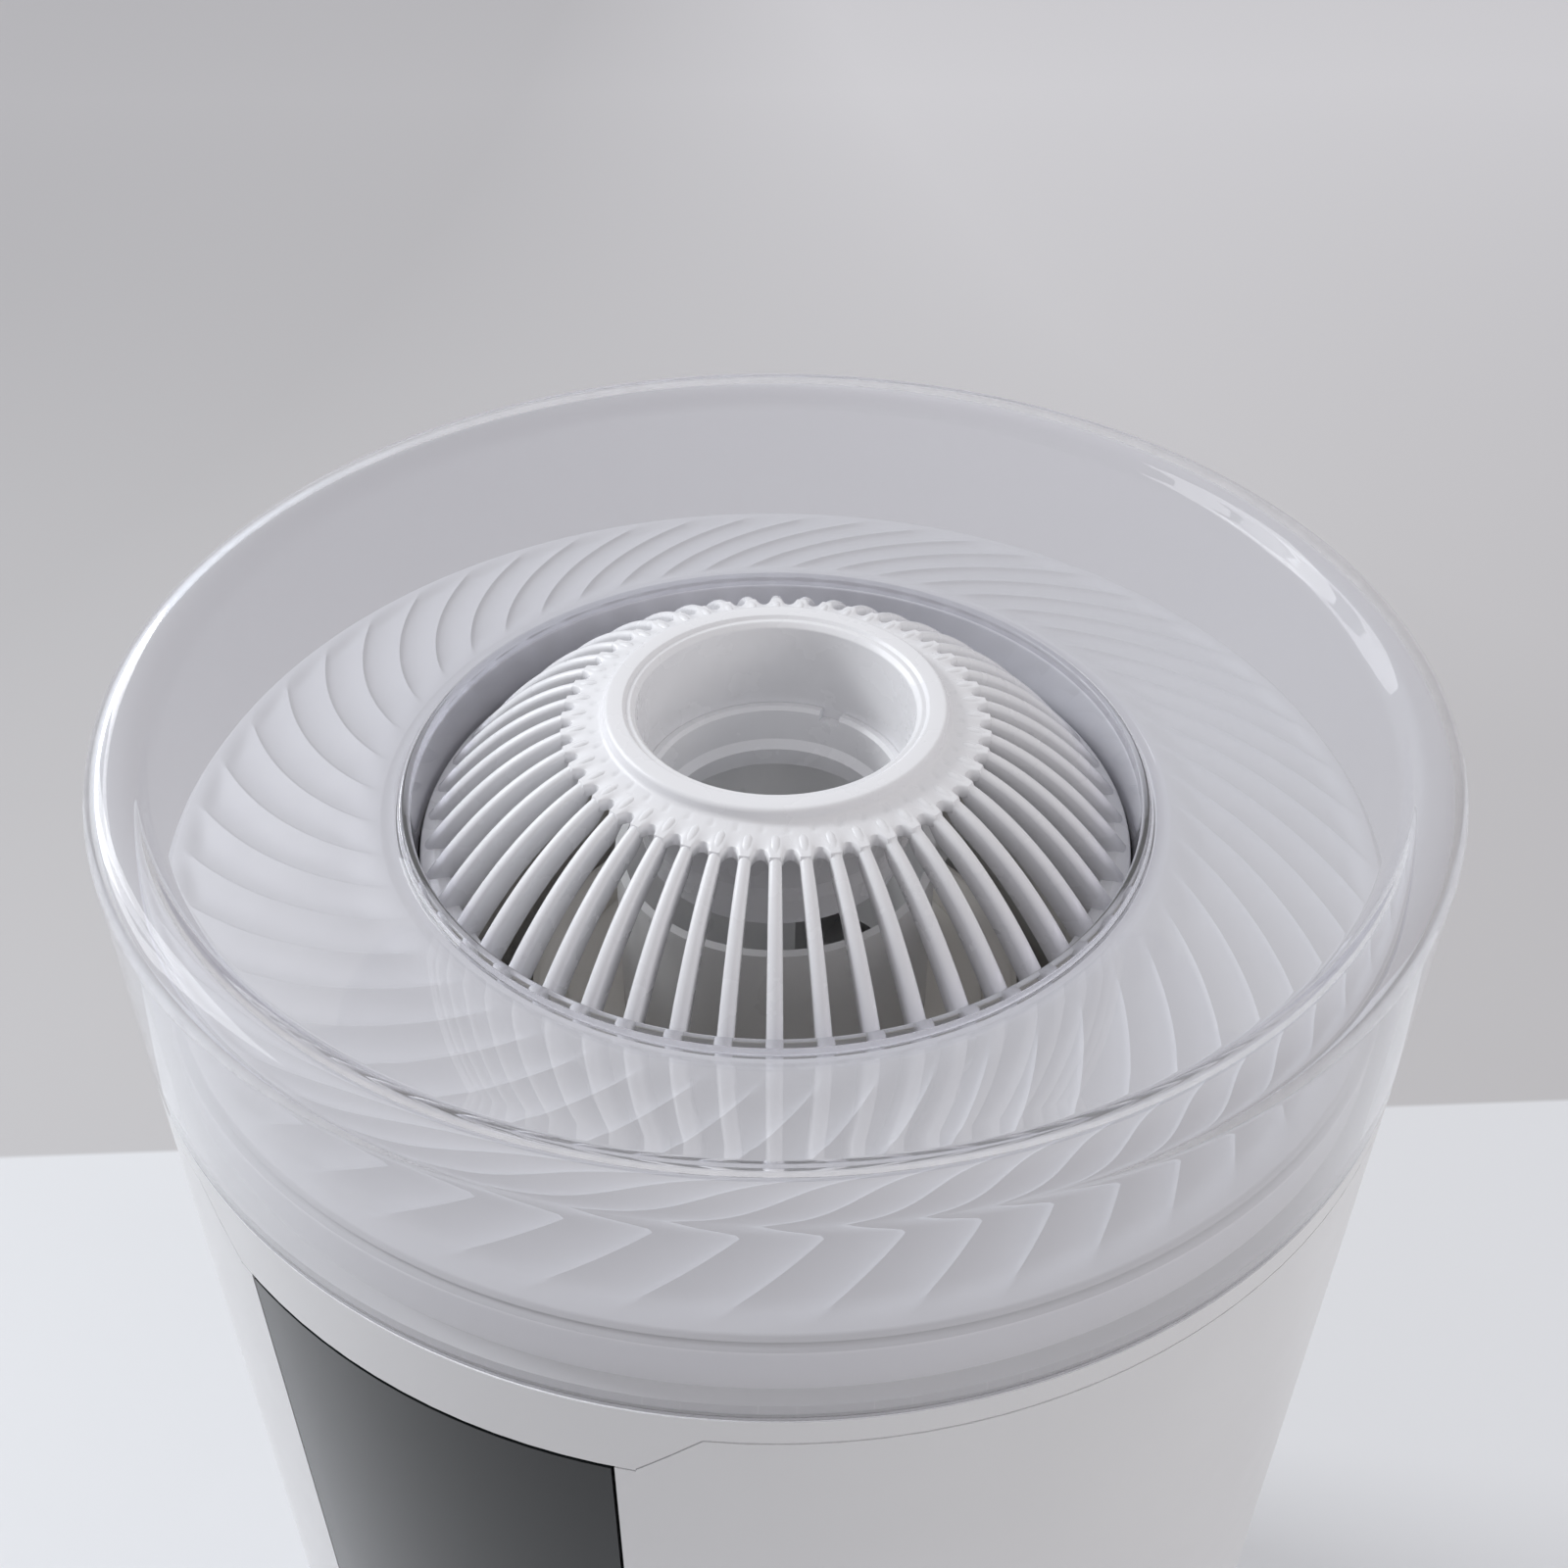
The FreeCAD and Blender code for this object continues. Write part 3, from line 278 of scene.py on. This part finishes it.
def clear_plastic(name, colour, depth=TRAPPED_DEPTH):
    """Polished clear moulding that lets lamp light through."""
    material, tree, shader, coords = new_material(name)
    cloud = noise(tree, coords, 9.0)
    tint = ramp(tree, cloud.outputs["Fac"], [(0.35, tuple(c * 0.992 for c in colour)), (0.65, colour)])
    tree.links.new(tint.outputs["Color"], shader.inputs["Base Color"])
    haze = noise(tree, coords, 120.0, 8.0)
    gloss = spread(tree, haze.outputs["Fac"], 0.0, 0.035)
    tree.links.new(gloss.outputs["Result"], shader.inputs["Roughness"])
    shader.inputs["Transmission Weight"].default_value = 0.91
    shader.inputs["Specular IOR Level"].default_value = 0.4
    shader.inputs["IOR"].default_value = 1.45
    through = tree.nodes.new("ShaderNodeBsdfTransparent")
    through.inputs["Color"].default_value = (0.90, 0.90, 0.92, 1.0)
    path = tree.nodes.new("ShaderNodeLightPath")
    deep = tree.nodes.new("ShaderNodeMath")
    deep.operation = "GREATER_THAN"
    deep.inputs[1].default_value = depth
    either = tree.nodes.new("ShaderNodeMath")
    either.operation = "MAXIMUM"
    mix = tree.nodes.new("ShaderNodeMixShader")
    tree.links.new(path.outputs["Ray Depth"], deep.inputs[0])
    tree.links.new(deep.outputs["Value"], either.inputs[0])
    tree.links.new(path.outputs["Is Shadow Ray"], either.inputs[1])
    tree.links.new(either.outputs["Value"], mix.inputs["Fac"])
    tree.links.new(shader.outputs["BSDF"], mix.inputs[1])
    tree.links.new(through.outputs["BSDF"], mix.inputs[2])
    tree.links.new(mix.outputs["Shader"], tree.nodes["Material Output"].inputs["Surface"])
    return material


# ---- the clear ring -------------------------------------------------------
def roll(radius):
    """Arc of the rolled rim, from the outer wall over its top and down on the inside."""
    arc = []
    for k in range(ROLL_STEPS + 1):
        a = math.radians(90 + RIM_TURN) * k / ROLL_STEPS
        arc.append((BODY_R - RIM_ROUND + radius * math.cos(a), RIM_Z - RIM_ROUND + radius * math.sin(a)))
    return arc


def build_top_ring():
    """Outer wall, rolled rim and funnel as one clear shell, and the collar that it ends in."""
    outer_collar = COLLAR_R + COLLAR_WALL
    foot = rounded([
        (BODY_R - RING_WALL, RIM_Z - RIM_ROUND - 1.0, 0.0),
        (BODY_R - RING_WALL, RING_LOW_Z, 0.5),
        (BODY_R, RING_LOW_Z, 0.5),
        (BODY_R, RIM_Z - RIM_ROUND - 1.0, 0.0),
    ])
    over = roll(RIM_ROUND)
    under = roll(RIM_ROUND - RING_WALL)
    funnel = rounded([
        (*over[-1], 0.0),
        (FUNNEL_R, FUNNEL_Z, 9.0),
        (COLLAR_R + 5.6, COLLAR_TOP_Z - 1.6, 2.5),
        (outer_collar + 0.1, COLLAR_TOP_Z - 0.4, 0.4),
        (outer_collar + 0.1, COLLAR_TOP_Z - 4.4, 0.4),
        (COLLAR_R + 6.2, COLLAR_TOP_Z - 4.2, 2.0),
        (FUNNEL_R + 2.1, FUNNEL_Z - 2.2, 12.0),
        (*under[-1], 0.0),
    ], 7)
    outline = foot + over[:-1] + funnel + under[-2::-1]
    rim = rounded([
        (outer_collar, COLLAR_LOW_Z, 0.4),
        (outer_collar, COLLAR_TOP_Z, 0.9),
        (COLLAR_R, COLLAR_TOP_Z, 0.9),
        (COLLAR_R, COLLAR_LOW_Z, 0.4),
    ], 7)
    ring = spun("clear_top_ring", refine(outline, 8.0), RING_STEPS, crease=30.0)
    clear = clear_plastic("clear_moulding", (0.985, 0.985, 0.995))
    finish_piece(ring, "ring", clear, "top_ring")
    collar = spun("clear_collar", rim, RING_STEPS, crease=30.0)
    clearer = clear_plastic("clear_collar", (0.985, 0.985, 0.995), COLLAR_DEPTH)
    finish_piece(collar, "ring", clearer, "top_ring")


# ---- the swirl plate ------------------------------------------------------
def flute(share):
    """Height of the surface across one flute, from crest to crest."""
    return (2 * share ** RIB_LEAN - 1) ** 2 - 1


def swirl_warp(r, z, angle):
    """Turns the sloping face into spiral flutes that die out at both ends."""
    along = (r - BAND_R) / (PLATE_R - 4.5 - BAND_R)
    on_top = z > PLATE_EDGE_Z - 0.5
    if not on_top or along <= 0:
        return r, z, angle + math.radians(RIB_FIRST)
    turn = math.radians(RIB_TURN) * min(1.0, along) ** 1.05
    share = (angle * RIBS / (2 * math.pi)) % 1.0
    depth = RIB_DEPTH * smooth_step(along * 5) * smooth_step((1 - along) * 9)
    return r, z + depth * flute(1 - share), angle - turn + math.radians(RIB_FIRST)


def build_swirl_plate():
    """White plate with fifty spiral flutes, a smooth inner band and a skirt; the top is a darker white than
    the skirt, as painted shade.
    """
    outline = rounded([
        (PLATE_HOLE_R, COLLAR_LOW_Z, 0.3),
        (PLATE_HOLE_R, PLATE_TOP_Z, 0.8),
        (BAND_R, PLATE_TOP_Z, 4.0),
        (PLATE_R - 2.5, PLATE_EDGE_Z + 1.2, 1.2),
        (PLATE_R, PLATE_EDGE_Z - 2, 1.2),
        (PLATE_R, PLATE_LOW_Z, 0.3),
        (PLATE_R - PLATE_SKIN, PLATE_LOW_Z, 0.3),
        (PLATE_R - PLATE_SKIN, PLATE_EDGE_Z - 5.0, 1.0),
        (BAND_R, PLATE_TOP_Z - PLATE_SKIN - RIB_DEPTH, 2.0),
        (PLATE_HOLE_R + PLATE_SKIN, PLATE_TOP_Z - PLATE_SKIN - RIB_DEPTH, 1.0),
        (PLATE_HOLE_R + PLATE_SKIN, COLLAR_LOW_Z, 0.3),
    ], 4)
    plate = spun("swirl_plate_fluted", refine(outline, 1.6), RIBS * 16, swirl_warp, crease=35.0)
    # Painted shade: the fluted top gets a darker white, for the light that the clear funnel above keeps off
    # it.
    white = moulded("plate_white_painted_shade", (0.64, 0.64, 0.65), (0.36, 0.46))
    finish_piece(plate, "ring", white, "swirl_plate")
    plate.data.materials.append(moulded("skirt_white", (0.84, 0.84, 0.85), (0.36, 0.46)))
    # The skirt and the hole's wall keep the plate's own lighter white; only the top carries the painted
    # shade.
    for face in plate.data.polygons:
        radius = math.hypot(face.center.x, face.center.y)
        if face.center.z < (PLATE_EDGE_Z - 1.5) * MM or radius < (PLATE_HOLE_R + 0.5) * MM:
            face.material_index = 1


# ---- the dome grille ------------------------------------------------------
def rise(r):
    """Height of the dome's outer face."""
    t = (r - CAP_R) / (BASE_R - CAP_R)
    return CAP_Z + (BASE_Z - CAP_Z) * t + BULGE * t * (1 - t)


def lean(r):
    """Outward normal (r, z) of the dome's outer face."""
    slope = (rise(r + 0.1) - rise(r - 0.1)) / 0.2
    size = math.hypot(slope, 1)
    return -slope / size, 1 / size


def cap_warp(r, z, angle):
    """Scallops the cap's edge round the slots' ends and dents it between the bars."""
    pitch = 2 * math.pi / BARS
    off = ((angle / pitch) % 1.0 - 0.5) * pitch
    aside = abs(off) * SLOT_TIP_R
    near = smooth_step((r - SCALLOP_R) / (SLOT_TIP_R - SCALLOP_R))
    reach = SLOT_HALF - math.sqrt(max(0.0, SLOT_HALF * SLOT_HALF - min(aside, SLOT_HALF) ** 2))
    dent = DENT_DEPTH * math.exp(-((r - DENT_R) ** 2 + (off * DENT_R) ** 2) / 0.6)
    on_top = z > rise(max(r, CAP_R)) - 1.0
    shift = math.radians(BAR_FIRST)
    return r + near * reach * 1.6, z - (dent if on_top and r > CAP_R else 0.0), angle + shift


def build_cap():
    """Solid cap of the dome with its collar and centre tube."""
    tube_low = RIM_Z - 41.7
    face = [(r, rise(r)) for r in (52.6, 51.8, 51.0, 50.2, 49.4, 48.8, 48.2)]
    under = [(r, rise(r) - CAP_THICK) for r in (44.0, 47.0, 50.0, 52.4)]
    collar = rounded([
        (47.6, rise(47.6), 0.0),
        (CAP_R, CAP_Z, 1.6),
        (CAP_R - 0.6, GRILLE_TOP_Z, 1.4),
        (HOLE_R + 3.2, GRILLE_TOP_Z, 0.5),
        (HOLE_R + 2.4, GRILLE_TOP_Z - 0.9, 0.4),
        (HOLE_R + 1.2, GRILLE_TOP_Z - 0.9, 0.6),
        (HOLE_R, GRILLE_TOP_Z - 2.2, 0.9),
        (HOLE_R - 0.6, tube_low, 0.4),
        (HOLE_R + 1.8, tube_low, 0.4),
        (HOLE_R + 3.0, CAP_Z - CAP_THICK, 2.0),
    ])
    tip = [(SLOT_TIP_R, rise(SLOT_TIP_R) - 1.0), (SLOT_TIP_R + 0.1, rise(SLOT_TIP_R) - 3.0)]
    outline = face + collar + under + tip[::-1]
    return spun("grille_cap", outline, BARS * 16, cap_warp, crease=50.0)


def bar_section(width, height):
    """Half-round topped section of a bar, as (sideways, outwards) points."""
    crown = 7
    points = []
    for k in range(crown + 1):
        a = math.pi * k / crown
        points.append((width / 2 * math.cos(a), 0.42 * width * math.sin(a)))
    points += [(-width / 2 * 0.86, -height + 0.5), (-width / 2 * 0.66, -height)]
    points += [(width / 2 * 0.66, -height), (width / 2 * 0.86, -height + 0.5)]
    return points


def build_bars():
    """Forty-eight bars that bow out from the cap to the base ring."""
    stations = 26
    points = []
    faces = []
    for bar in range(BARS):
        azimuth = math.radians(BAR_FIRST) + 2 * math.pi * bar / BARS
        ca, sa = math.cos(azimuth), math.sin(azimuth)
        first = len(points)
        for s in range(stations):
            share = s / (stations - 1)
            r = BAR_START_R + (BASE_R + 0.4 - BAR_START_R) * share
            z = rise(r)
            nr, nz = lean(r)
            grow = smooth_step((r - BAR_START_R) / BAR_GROW)
            width = 2.3 + 0.5 * grow + 1.4 * share
            lift = -1.6 + 1.2 * grow
            deep = 2.0 + 3.2 * smooth_step((r - 52.0) / 8.0)
            section = bar_section(width, deep)
            for side, out in section:
                rr = r + nr * (out + lift)
                points.append((rr * ca - side * sa, rr * sa + side * ca, z + nz * (out + lift)))
        n = len(section)
        for s in range(stations - 1):
            for k in range(n):
                m = (k + 1) % n
                a = first + s * n
                faces.append((a + k, a + m, a + n + m, a + n + k))
        faces.append(tuple(first + k for k in reversed(range(n))))
        last = first + (stations - 1) * n
        faces.append(tuple(last + k for k in range(n)))
    return mesh_piece("grille_bars", points, faces, 50.0)


def build_base_ring():
    """Ring that joins the feet of the bars."""
    outline = rounded([
        (BASE_R - 4.5, GRILLE_LOW_Z, 0.5),
        (GRILLE_RING_R, GRILLE_LOW_Z, 0.5),
        (GRILLE_RING_R, BASE_Z - 0.6, 0.9),
        (BASE_R - 1.0, BASE_Z + 0.2, 0.9),
        (BASE_R - 4.5, BASE_Z - 0.4, 0.6),
    ])
    return spun("grille_base_ring", outline, 288)


def build_grille():
    """The white dome: cap, bars and base ring."""
    white = moulded("grille_white", (0.83, 0.83, 0.85), (0.22, 0.32), coat=0.2)
    for piece in (build_cap(), build_bars(), build_base_ring()):
        finish_piece(piece, "grille", white, "dome_grille")


# ---- CAD nodes that stay --------------------------------------------------
def finish_cad_nodes():
    """Gives every CAD node its own kind of surface, by material slot."""
    looks = {
        "white_shell": moulded("shell_white", (0.83, 0.83, 0.84), (0.3, 0.4), coat=0.15),
        "white_gloss": moulded("tube_white", (0.85, 0.85, 0.87), (0.2, 0.3), coat=0.3),
        "white_plate": moulded("plate_plain", (0.88, 0.88, 0.88), (0.26, 0.36)),
        "clear_plastic": clear_plastic("clear_plain", (0.98, 0.98, 0.99)),
        "smoked_glass": moulded("smoked_glass", (0.010, 0.013, 0.014), (0.04, 0.08), relief=0.0, shine=0.35),
        "black_plastic": moulded("black_plastic", (0.02, 0.02, 0.02), (0.45, 0.6)),
        "grey_plastic": moulded("grey_plastic", (0.46, 0.44, 0.41), (0.45, 0.6)),
        "tank_plastic": moulded("tank_plastic", (0.85, 0.825, 0.78), (0.3, 0.45)),
        "fan_plastic": moulded("fan_plastic", (0.40, 0.385, 0.36), (0.35, 0.5)),
        "foot_rubber": moulded("foot_rubber", (0.03, 0.03, 0.03), (0.7, 0.85)),
        "silicone": moulded("silicone", (0.6, 0.6, 0.6), (0.5, 0.65)),
        "circuit_board": moulded("circuit_board", (0.02, 0.12, 0.05), (0.3, 0.5)),
        "light_segment": moulded("light_segment", (0.75, 0.82, 0.86), (0.3, 0.4)),
        "steel": moulded("steel", (0.55, 0.55, 0.56), (0.25, 0.4), metal=1.0),
        "motor_can": moulded("motor_can", (0.12, 0.12, 0.13), (0.3, 0.45), metal=0.6),
        "brass": moulded("brass", (0.72, 0.55, 0.25), (0.25, 0.4), metal=1.0),
        "lead_sheath": moulded("lead_sheath", (0.03, 0.03, 0.03), (0.5, 0.65)),
        "filter_paper": moulded("filter_paper", (0.82, 0.82, 0.80), (0.8, 0.95), relief=0.0001),
        "filter_mesh": moulded("filter_mesh", (0.10, 0.10, 0.11), (0.7, 0.85), relief=0.0002),
        "filter_core_plastic": moulded("core_plastic", (0.75, 0.75, 0.75), (0.4, 0.55)),
        "foam": moulded("foam", (0.80, 0.80, 0.78), (0.8, 0.95), grain=900.0, relief=0.0002),
        "magnet": moulded("magnet", (0.35, 0.35, 0.36), (0.25, 0.4), metal=1.0),
    }
    slots = {row["node"]: row["material_slot"] for row in frame["record"]["subparts"]}
    for name, node in frame["nodes"].items():
        node.data.materials.clear()
        node.data.materials.append(looks[slots[name]])


# ---- stage, light and camera ----------------------------------------------
def aligned(right, back, up):
    """Point in metres from distances right of, behind and above the axis's foot, as the camera sees them."""
    a = math.radians(CAMERA_AZIMUTH)
    x = right * math.cos(a) - back * math.sin(a)
    y = right * math.sin(a) + back * math.cos(a)
    return Vector((x, y, up)) * MM


def build_floor():
    """White table that gives way to light grey behind the object, with painted shade and light: darker
    towards the front, brighter far behind, and darker at the front right and back left.
    """
    mesh = bpy.data.meshes.new("floor")
    signs = ((-1, -1), (1, -1), (1, 1), (-1, 1))
    corners = [aligned(x * FLOOR_SIZE, y * FLOOR_SIZE, 0.0) for x, y in signs]
    mesh.from_pydata(corners, [], [(0, 1, 2, 3)])
    floor = bpy.data.objects.new("floor", mesh)
    bpy.context.scene.collection.objects.link(floor)
    material, tree, shader, coords = new_material("floor_tones_with_painted_shade")
    mapping = tree.nodes.new("ShaderNodeMapping")
    mapping.inputs["Rotation"].default_value = (0, 0, -math.radians(CAMERA_AZIMUTH + EDGE_TURN))
    tree.links.new(coords.outputs["Object"], mapping.inputs["Vector"])
    split = tree.nodes.new("ShaderNodeSeparateXYZ")
    tree.links.new(mapping.outputs["Vector"], split.inputs["Vector"])
    across, along = split.outputs["X"], split.outputs["Y"]
    edge = EDGE_BEHIND * MM
    front = spread(tree, along, 0.0, 1.0, FLOOR_FRONT * MM, edge)
    # Painted shade: the table darkens from its white near the object to grey towards the front.
    table = ramp(tree, front.outputs["Result"], [
        (0.0, (0.60, 0.60, 0.61)),
        (0.55, (0.79, 0.80, 0.82)),
    ])
    behind = spread(tree, along, 0.0, 1.0, edge, FLOOR_BACK * MM)
    # Painted light: the grey behind the object brightens with distance, for the lit top of the wall.
    wall = ramp(tree, behind.outputs["Result"], [
        (0.0, (0.57, 0.56, 0.565)),
        (0.18, (0.58, 0.57, 0.575)),
        (1.0, (0.86, 0.85, 0.86)),
    ])
    beyond = spread(tree, along, 0.0, 1.0, edge, edge + EDGE_BLUR * MM)
    tone = tree.nodes.new("ShaderNodeMixRGB")
    tree.links.new(beyond.outputs["Result"], tone.inputs["Fac"])
    tree.links.new(table.outputs["Color"], tone.inputs["Color1"])
    tree.links.new(wall.outputs["Color"], tone.inputs["Color2"])
    # Painted shade and light by side: the floor is darker at the front right and back left, lighter at the
    # front left and back right.
    side_shade_mask = tree.nodes.new("ShaderNodeMath")
    side_shade_mask.operation = "MULTIPLY"
    tree.links.new(across, side_shade_mask.inputs[0])
    tree.links.new(along, side_shade_mask.inputs[1])
    aside = spread(tree, side_shade_mask.outputs["Value"], 0.86, 1.12, -0.6, 0.6)
    side_shaded_tone = tree.nodes.new("ShaderNodeVectorMath")
    side_shaded_tone.operation = "SCALE"
    tree.links.new(tone.outputs["Color"], side_shaded_tone.inputs[0])
    tree.links.new(aside.outputs["Result"], side_shaded_tone.inputs["Scale"])
    tree.links.new(side_shaded_tone.outputs["Vector"], shader.inputs["Base Color"])
    shader.inputs["Roughness"].default_value = 0.55
    mesh.materials.append(material)


def area_light(name, place, side, watts, colour):
    """Soft square lamp, with its side in metres, aimed at the top of the object."""
    place = aligned(place[0], place[1], RIM_Z + place[2])
    target = aligned(0, 0, RIM_Z + LAMP_TARGET)
    data = bpy.data.lights.new(name, "AREA")
    data.shape = "RECTANGLE"
    data.size = side
    data.size_y = side
    data.energy = watts
    data.color = colour
    lamp = bpy.data.objects.new(name, data)
    bpy.context.scene.collection.objects.link(lamp)
    lamp.location = place
    lamp.rotation_euler = (target - place).to_track_quat("-Z", "Y").to_euler()
    return lamp


def build_light():
    """Cool key from the left and behind, its wider sheen, a warmer fill from the right, and a surround."""
    cool = (0.96, 0.985, 1.0)
    warm = (1.0, 0.97, 0.95)
    key = area_light("key", LEFT_LAMP, 0.36, 12.5, cool)
    key.visible_glossy = False
    sheen = area_light("sheen", LEFT_LAMP, 0.9, 9.0, cool)
    sheen.visible_diffuse = False
    fill = area_light("fill", RIGHT_LAMP, 0.6, 6.0, warm)
    fill.visible_glossy = False
    world = bpy.data.worlds.new("surround")
    world.use_nodes = True
    tree = world.node_tree
    background = tree.nodes["Background"]
    coords = tree.nodes.new("ShaderNodeTexCoord")
    facing = tree.nodes.new("ShaderNodeVectorMath")
    facing.operation = "DOT_PRODUCT"
    facing.inputs[1].default_value = (aligned(-0.8, 0.5, 0.45) / MM).normalized()
    tree.links.new(coords.outputs["Generated"], facing.inputs[0])
    side = tree.nodes.new("ShaderNodeMapRange")
    side.inputs["From Min"].default_value = -1.0
    tree.links.new(facing.outputs["Value"], side.inputs["Value"])
    tones = ramp(tree, side.outputs["Result"], [
        (0.0, (0.36, 0.35, 0.355)),
        (0.65, (0.60, 0.595, 0.61)),
        (0.90, (0.62, 0.62, 0.64)),
        (0.95, (0.74, 0.76, 0.80)),
        (1.0, (1.15, 1.2, 1.3)),
    ])
    tree.links.new(tones.outputs["Color"], background.inputs["Color"])
    bpy.context.scene.world = world


def build_camera():
    """Camera close over the front of the object, looking down."""
    data = bpy.data.cameras.new("camera")
    data.sensor_width = 36.0
    data.lens = CAMERA_LENS
    data.shift_x = CAMERA_SHIFT
    data.clip_start = 0.01
    camera = bpy.data.objects.new("camera", data)
    bpy.context.scene.collection.objects.link(camera)
    camera.location = aligned(0, -CAMERA_OUT, RIM_Z + CAMERA_UP)
    tilt = math.radians(90 - CAMERA_PITCH)
    camera.rotation_euler = (tilt, 0, math.radians(CAMERA_AZIMUTH))
    camera.rotation_euler.rotate_axis("Z", math.radians(CAMERA_ROLL))
    bpy.context.scene.camera = camera


build_camera()
build_floor()
build_light()
finish_cad_nodes()
build_top_ring()
build_swirl_plate()
build_grille()
bpy.context.scene.view_settings.view_transform = "Standard"
